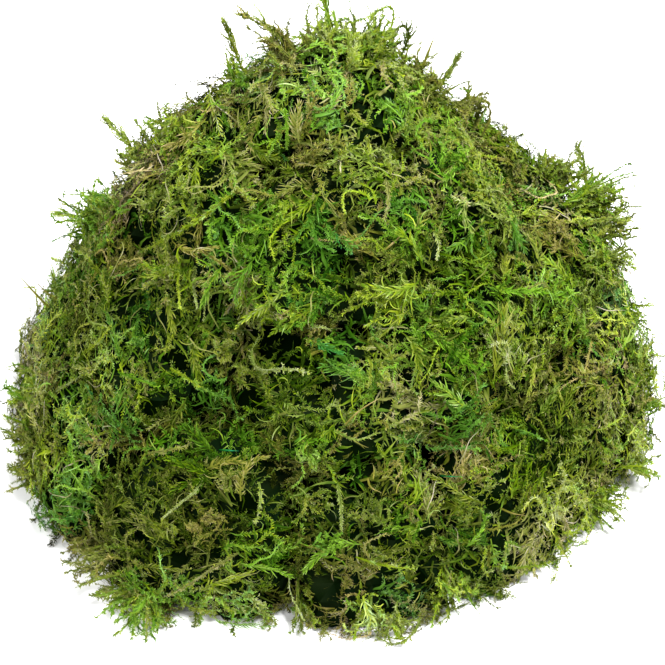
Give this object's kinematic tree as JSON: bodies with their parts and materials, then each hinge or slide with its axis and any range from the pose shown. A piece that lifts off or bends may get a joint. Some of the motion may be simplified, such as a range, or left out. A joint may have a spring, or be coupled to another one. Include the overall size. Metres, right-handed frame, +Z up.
{
  "type": "moss clump",
  "caption": "Heap of dried feather moss: tangled tufts pressed into a rounded mound, with single fronds and bare stems standing out.",
  "frame": {"origin": "On the ground under the middle of the heap, on the flat underside of its middle tuft.", "axes": "+Z up from the ground, +X the heap's right and its longest extent, -Y its front, which the picture shows."},
  "size_m": [0.233, 0.2248, 0.1627],
  "materials": {
    "olive_moss": "matte",
    "bright_moss": "matte",
    "deep_moss": "matte",
    "brown_moss": "matte",
    "dry_stem": "matte"
  },
  "bodies": {
    "root": {"bed_tuft_middle": "olive_moss", "bed_tuft_01": "bright_moss", "bed_tuft_02": "olive_moss", "bed_tuft_03": "deep_moss", "bed_tuft_04": "olive_moss", "bed_tuft_05": "brown_moss", "hem_tuft_01": "olive_moss", "hem_tuft_02": "bright_moss", "hem_tuft_03": "olive_moss", "hem_tuft_04": "deep_moss", "hem_tuft_05": "olive_moss", "hem_tuft_06": "brown_moss", "hem_tuft_07": "olive_moss", "hem_tuft_08": "bright_moss", "hem_tuft_09": "olive_moss", "hem_tuft_10": "deep_moss", "hem_tuft_11": "olive_moss", "heart_tuft": "brown_moss", "flank_tuft_01": "olive_moss", "flank_tuft_02": "bright_moss", "flank_tuft_03": "olive_moss", "flank_tuft_04": "deep_moss", "flank_tuft_05": "olive_moss", "flank_tuft_06": "brown_moss", "flank_tuft_07": "olive_moss", "flank_tuft_08": "bright_moss", "shoulder_tuft_01": "olive_moss", "shoulder_tuft_02": "deep_moss", "shoulder_tuft_03": "olive_moss", "shoulder_tuft_04": "brown_moss", "shoulder_tuft_05": "olive_moss", "crown_tuft": "bright_moss", "crown_frond_left": "bright_moss", "crown_frond_upright": "bright_moss", "crown_frond_arch": "bright_moss", "right_upper_curl": "bright_moss", "right_upper_sprig": "bright_moss", "right_shoulder_frond": "bright_moss", "left_shoulder_frond": "bright_moss", "left_flank_frond": "bright_moss", "back_flank_frond": "bright_moss", "back_shoulder_frond": "bright_moss", "crown_twig": "dry_stem", "left_bare_stem": "dry_stem", "right_bare_stem": "dry_stem"}
  },
  "joints": []
}
